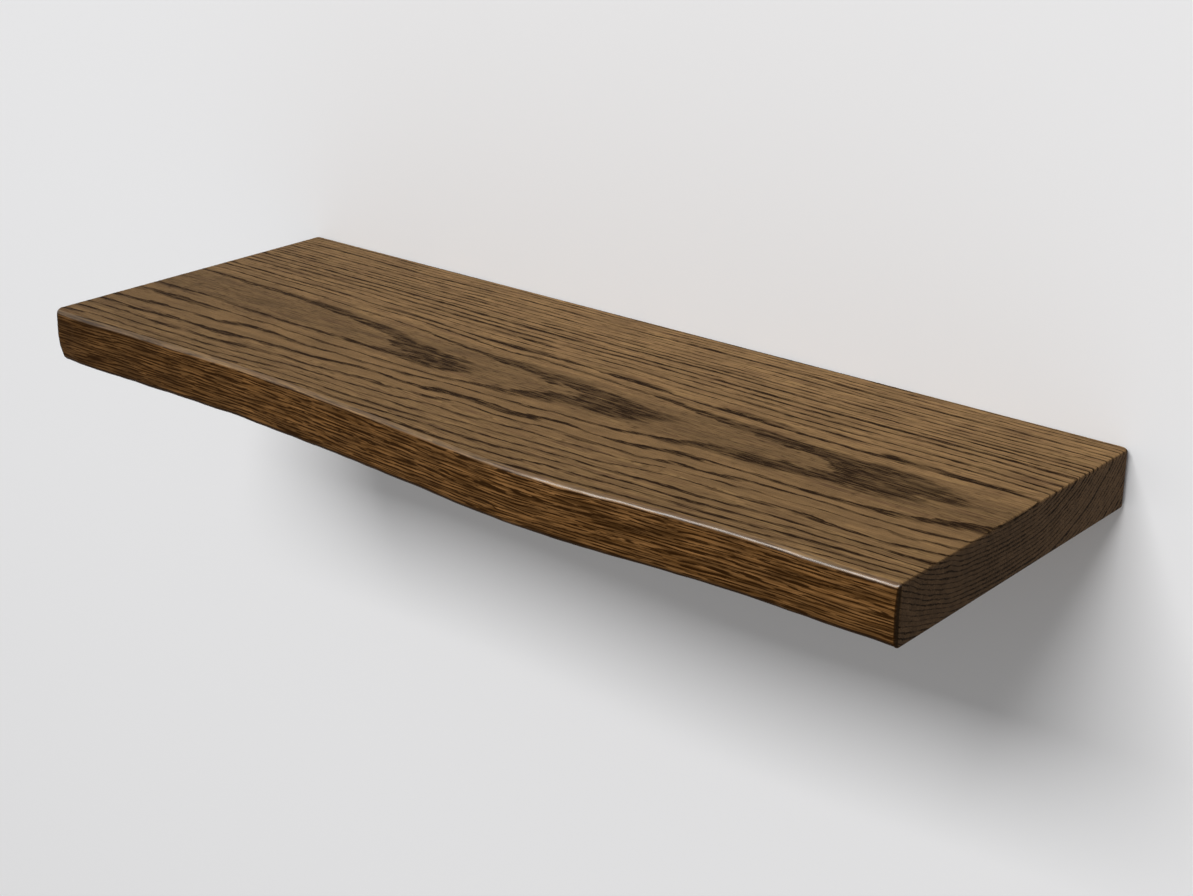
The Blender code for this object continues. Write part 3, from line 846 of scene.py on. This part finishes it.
def screw_body(bm, sizes, top, point):
    """Turn a countersunk screw without its recess and thread."""
    head = sizes.head_diameter / 2
    core = sizes.screw_diameter / 2 * CORE_SHARE
    shank = sizes.screw_diameter / 2 * SHANK_SHARE
    rim = top + HEAD_RIM
    start = point - sizes.thread_length
    profile = [
        (head - 0.15 * MM, top), (head, top + 0.15 * MM), (head, rim),
        (shank + 0.8 * MM, rim + head - shank - 0.8 * MM), (shank, rim + head - shank + 0.5 * MM),
        (shank, start - 1 * MM), (core, start), (core, point - TAPER),
        (core * 0.62, point - TAPER * 0.45), (core * 0.25, point - TAPER * 0.12), (0.0, point),
    ]
    spin_profile(bm, profile, FIXING_STEPS)


def sink_recess(bm, top):
    """Close a screw's head with its six-lobed drive recess."""
    face_rim = [edge for edge in bm.edges if all(abs(v.co.y - top) < 0.01 * MM for v in edge.verts)]
    lobes = bmesh.ops.create_circle(bm, segments=FIXING_STEPS, radius=1.0)["verts"]
    for vertex in lobes:
        turn = math.atan2(vertex.co.y, vertex.co.x)
        reach = RECESS_RADIUS + LOBE_DEPTH * math.cos(6 * turn)
        vertex.co = (reach * math.cos(turn), top, reach * math.sin(turn))
    recess = list(dict.fromkeys(edge for vertex in lobes for edge in vertex.link_edges))
    bmesh.ops.bridge_loops(bm, edges=face_rim + recess)
    walls = bmesh.ops.extrude_edge_only(bm, edges=recess)["geom"]
    deep = [item for item in walls if isinstance(item, bmesh.types.BMVert)]
    bmesh.ops.translate(bm, verts=deep, vec=(0, RECESS_DEPTH, 0))
    bottom = [item for item in walls if isinstance(item, bmesh.types.BMEdge)
              and all(vertex in deep for vertex in item.verts)]
    floor = bmesh.ops.contextual_create(bm, geom=bottom)["faces"]
    poked = bmesh.ops.poke(bm, faces=floor)["verts"]
    bmesh.ops.translate(bm, verts=poked, vec=(0, FLOOR_DEPTH, 0))


def wind_thread(bm, sizes, point):
    """Wind a sharp three-cornered ridge round a screw's core, running out at both ends."""
    crest = sizes.screw_diameter / 2
    core = crest * CORE_SHARE
    root = core * THREAD_ROOT
    start = point - sizes.thread_length
    turns = int(sizes.thread_length / sizes.thread_pitch)
    corners = ((root, start - THREAD_HALF), (crest, start), (root, start + THREAD_HALF))
    section = bm.faces.new([bm.verts.new((out, depth, 0)) for out, depth in corners])
    bmesh.ops.spin(bm, geom=[section], cent=(0, 0, 0), axis=(0, 1, 0), angle=math.tau * turns,
                   steps=THREAD_STEPS * turns, dvec=(0, sizes.thread_pitch / THREAD_STEPS, 0))
    for vertex in bm.verts:
        out = math.hypot(vertex.co.x, vertex.co.z)
        if vertex.co.y <= start - THREAD_HALF - 0.01 * MM or out <= core * 0.85:
            continue
        left = max(point - vertex.co.y, 0.0) / TAPER
        squeeze = 1.0
        if out > core * 1.02:
            rise = min(1.0, max(0.0, (vertex.co.y - start + THREAD_HALF) / THREAD_RISE))
            squeeze = (core + (out - core) * rise) / out
            squeeze *= 0.10 + 0.90 * min(left, 1.0) ** 0.8
        elif left < 1 and abs(out - root) < 0.02 * MM:
            squeeze = max(0.04, left ** 0.9)
        vertex.co.x *= squeeze
        vertex.co.z *= squeeze
        vertex.co.y = min(vertex.co.y, point)


class SHELF_OT_screws(bpy.types.Operator):
    """Model the threaded screws that hold the plates to the wall"""

    bl_idname = "shelf.screws"
    bl_label = "Wall Screws"

    def execute(self, context):
        sizes = context.scene.support_sizes
        finish = zinc_material("yellow zinc plated steel", sizes.yellow_zinc, YELLOW_CLOUD, 0.26)
        for number in FIXING_NUMBERS:
            solid = f"wall_screw_{number}"
            low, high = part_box(solid)
            bm = bmesh.new()
            screw_body(bm, sizes, low[1], high[1])
            sink_recess(bm, low[1])
            wind_thread(bm, sizes, high[1])
            bmesh.ops.rotate(bm, verts=bm.verts, matrix=Matrix.Rotation(number * SCREW_TURN, 3, "Y"))
            bmesh.ops.translate(bm, verts=bm.verts, vec=((low[0] + high[0]) / 2, 0, 0))
            screw = add_piece(bm, f"threaded_screw_{number}", TURNED_SHARP_ANGLE)
            dress(screw, finish)
            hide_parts(solid)
            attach(screw, WALL_BODY)
        return {"FINISHED"}


# A plug: room round its screw, depth of its barbs, plain lengths before and behind them, the
# rounding of its mouth, and the slot through its nose
PLUG_ROOM = 0.03 * MM
BARB_DEPTH = 0.7 * MM
PLAIN_MOUTH = 10 * MM
PLAIN_NOSE = 4 * MM
MOUTH_ROUNDING = 0.3 * MM
SLOT_SIZE = (1.2 * MM, 34 * MM, 14 * MM)
SLOT_MIDDLE = 16 * MM


def plug_mesh(sizes, mouth, end):
    """A wall plug on its own axis: a collarless tube with rounded barbs."""
    outer = sizes.plug_diameter / 2
    bore = sizes.screw_diameter / 2 + PLUG_ROOM
    root = outer - BARB_DEPTH
    ribs_start = mouth + PLAIN_MOUTH
    ribs_end = end - PLAIN_NOSE
    pitch = (ribs_end - ribs_start) / sizes.rib_count
    edge = mouth + MOUTH_ROUNDING
    profile = [(bore, end), (bore, edge), (bore + MOUTH_ROUNDING, mouth),
               (outer - MOUTH_ROUNDING, mouth), (outer, edge), (outer, ribs_start)]
    for rib in range(sizes.rib_count):
        base = ribs_start + rib * pitch
        profile += [(root, base + pitch * 0.15), (root + 0.05 * MM, base + pitch * 0.30)]
        if rib < sizes.rib_count - 1:
            profile += [(outer - 0.12 * MM, base + pitch * 0.90), (outer, base + pitch)]
    profile += [(root, ribs_end), (root - 0.6 * MM, end - 0.5 * MM), (root - 1.0 * MM, end), (bore, end)]
    bm = bmesh.new()
    spin_profile(bm, profile, FIXING_STEPS)
    return bm


def cut_slot(plug, end):
    """Cut the slot through a plug's nose, which lets it spread."""
    bm = bmesh.new()
    bmesh.ops.create_cube(bm, size=1.0)
    bmesh.ops.scale(bm, verts=bm.verts, vec=SLOT_SIZE)
    bmesh.ops.translate(bm, verts=bm.verts, vec=(0, end - SLOT_MIDDLE, 0))
    cutter = add_piece(bm, "slot_cutter")
    cutting = plug.modifiers.new("slot", "BOOLEAN")
    cutting.operation = "DIFFERENCE"
    cutting.solver = "EXACT"
    cutting.object = cutter
    cut = plug.evaluated_get(bpy.context.evaluated_depsgraph_get())
    plug.data = bpy.data.meshes.new_from_object(cut)
    plug.modifiers.clear()
    smooth(plug.data)
    bpy.data.objects.remove(cutter)


class SHELF_OT_plugs(bpy.types.Operator):
    """Model the nylon wall plugs with their barbs and slots"""

    bl_idname = "shelf.plugs"
    bl_label = "Wall Plugs"

    def execute(self, context):
        sizes = context.scene.support_sizes
        finish = nylon_material(sizes.nylon)
        for number in FIXING_NUMBERS:
            solid = f"wall_plug_{number}"
            low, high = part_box(solid)
            plug = add_piece(plug_mesh(sizes, low[1], high[1]), f"ribbed_plug_{number}")
            cut_slot(plug, high[1])
            plug.data.transform(Matrix.Translation(((low[0] + high[0]) / 2, 0, 0)))
            dress(plug, finish)
            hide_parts(solid)
            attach(plug, WALL_BODY)
        return {"FINISHED"}


# The stage, in metres: the wall stands just behind the board, and the floor lies far below it
WALL_GAP = 0.3 * MM
FLOOR_CENTRE = (0, -3.0, -1.3)
SHEET_REACH = 6.0
SOFT_BOX_TARGET = (0, -0.15, 0)
SOFT_BOX_SIZE = (7.0, 3.0)
STRIP_PLACE = (-1.05, -3.0, 2.3)
STRIP_TARGET = (-1.05, -0.29, 0)
STRIP_SIZE = (2.3, 1.4)
BACKGROUND_LEVEL = 0.76

# The camera fitted to the photograph: its place in metres, and its tilt and turn in degrees
CAMERA_PLACE = (0.9582, -1.1945, 0.5209)
CAMERA_TILT = 68.51
CAMERA_TURN = 40.70
SENSOR_WIDTH = 36.0
CLIP_END = 50.0


def stage_material(name, colour):
    """Matt paint that the camera sees from the room's side only."""
    material, tree, shader = new_material(name)
    set_inputs(tree, shader,
               {"Base Color": hex_colour(colour), "Roughness": 1.0, "Specular IOR Level": 0.0})
    clear = node(tree, "BsdfTransparent")
    path = node(tree, "LightPath")
    side = node(tree, "NewGeometry")
    seen = node(tree, "Math", {0: path.outputs["Is Camera Ray"], 1: side.outputs["Backfacing"]},
                "SUBTRACT", use_clamp=True)
    blend = node(tree, "MixShader", {0: seen, 1: clear, 2: shader})
    set_inputs(tree, tree.nodes["Material Output"], {"Surface": blend})
    return material


def stage_plane(name, material, centre, tilt):
    """Add a large flat sheet of the stage."""
    bm = bmesh.new()
    bmesh.ops.create_grid(bm, x_segments=1, y_segments=1, size=SHEET_REACH)
    bmesh.ops.rotate(bm, verts=bm.verts, matrix=Euler((tilt, 0, 0)).to_matrix())
    bmesh.ops.translate(bm, verts=bm.verts, vec=centre)
    plane = add_mesh(bm, name)
    dress(plane, material)


def area_light(name, centre, target, size, power):
    """A rectangular lamp turned towards a point."""
    data = bpy.data.lights.new(name, "AREA")
    data.shape = "RECTANGLE"
    data.size, data.size_y = size
    data.energy = power
    lamp = add_object(name, data)
    lamp.location = centre
    lamp.rotation_euler = (Vector(target) - Vector(centre)).to_track_quat("-Z", "Y").to_euler()
    return lamp


def room_light(ambient):
    """Even light of the room, which the camera, gloss and glass see as its pale background."""
    world = bpy.data.worlds.new("room light")
    world.use_nodes = True
    tree = world.node_tree
    path = node(tree, "LightPath")
    seen = path.outputs["Is Camera Ray"]
    for ray in ("Is Glossy Ray", "Is Transmission Ray"):
        seen = node(tree, "Math", {0: seen, 1: path.outputs[ray]}, "MAXIMUM")
    level = node(tree, "MapRange", {"Value": seen, "To Min": ambient, "To Max": BACKGROUND_LEVEL})
    set_inputs(tree, tree.nodes["Background"], {"Color": (1.0, 1.0, 1.0, 1.0), "Strength": level})
    return world


def camera_in_room(lens):
    """The camera at the photograph's place."""
    data = bpy.data.cameras.new("camera")
    data.lens = lens
    data.sensor_width = SENSOR_WIDTH
    data.clip_end = CLIP_END
    camera = add_object("camera", data)
    camera.location = CAMERA_PLACE
    camera.rotation_euler = (math.radians(CAMERA_TILT), 0, math.radians(CAMERA_TURN))
    return camera


class SHELF_OT_stage(bpy.types.Operator):
    """Set the wall, the floor, the light and the camera"""

    bl_idname = "shelf.stage"
    bl_label = "Stage"

    def execute(self, context):
        sizes = context.scene.stage_sizes
        paint = stage_material("pale wall paint", sizes.wall_paint)
        stage_plane("room_wall", paint, (0, WALL_GAP, 0), math.radians(90))
        stage_plane("room_floor", paint, FLOOR_CENTRE, 0)

        level = sizes.key_distance * math.cos(sizes.key_elevation)
        key_place = (level * math.sin(sizes.key_azimuth), -level * math.cos(sizes.key_azimuth),
                     sizes.key_distance * math.sin(sizes.key_elevation))
        area_light("soft_box", key_place, SOFT_BOX_TARGET, SOFT_BOX_SIZE, sizes.key_power)
        # A strip up to the left, which glints on the live edge's upper arris and lights no surface
        strip = area_light("edge_strip", STRIP_PLACE, STRIP_TARGET, STRIP_SIZE, sizes.strip_power)
        strip.visible_diffuse = False

        context.scene.world = room_light(sizes.ambient)
        context.scene.view_settings.view_transform = "Standard"
        context.scene.camera = camera_in_room(sizes.lens)
        return {"FINISHED"}


class SHELF_PT_panel(bpy.types.Panel):
    """Sidebar panel that lists the shelf's operators"""

    bl_idname = "SHELF_PT_panel"
    bl_label = "Live Edge Shelf"
    bl_space_type = "VIEW_3D"
    bl_region_type = "UI"
    bl_category = "Shelf"

    def draw(self, context):
        for operator in OPERATORS:
            self.layout.operator(operator.bl_idname)


OPERATORS = (SHELF_OT_plates, SHELF_OT_rods, SHELF_OT_screws, SHELF_OT_plugs, SHELF_OT_board,
             SHELF_OT_stage)
GROUPS = {"oak_sizes": OakSizes, "support_sizes": SupportSizes, "stage_sizes": StageSizes}
CLASSES = (*GROUPS.values(), *OPERATORS, SHELF_PT_panel)


def register():
    for entry in CLASSES:
        bpy.utils.register_class(entry)
    for name, group in GROUPS.items():
        setattr(bpy.types.Scene, name, bpy.props.PointerProperty(type=group))


def unregister():
    for name in GROUPS:
        delattr(bpy.types.Scene, name)
    for entry in reversed(CLASSES):
        bpy.utils.unregister_class(entry)


def main():
    register()
    for name in ("plates", "rods", "screws", "plugs", "board", "stage"):
        getattr(bpy.ops.shelf, name)()


if __name__ == "__main__":
    main()
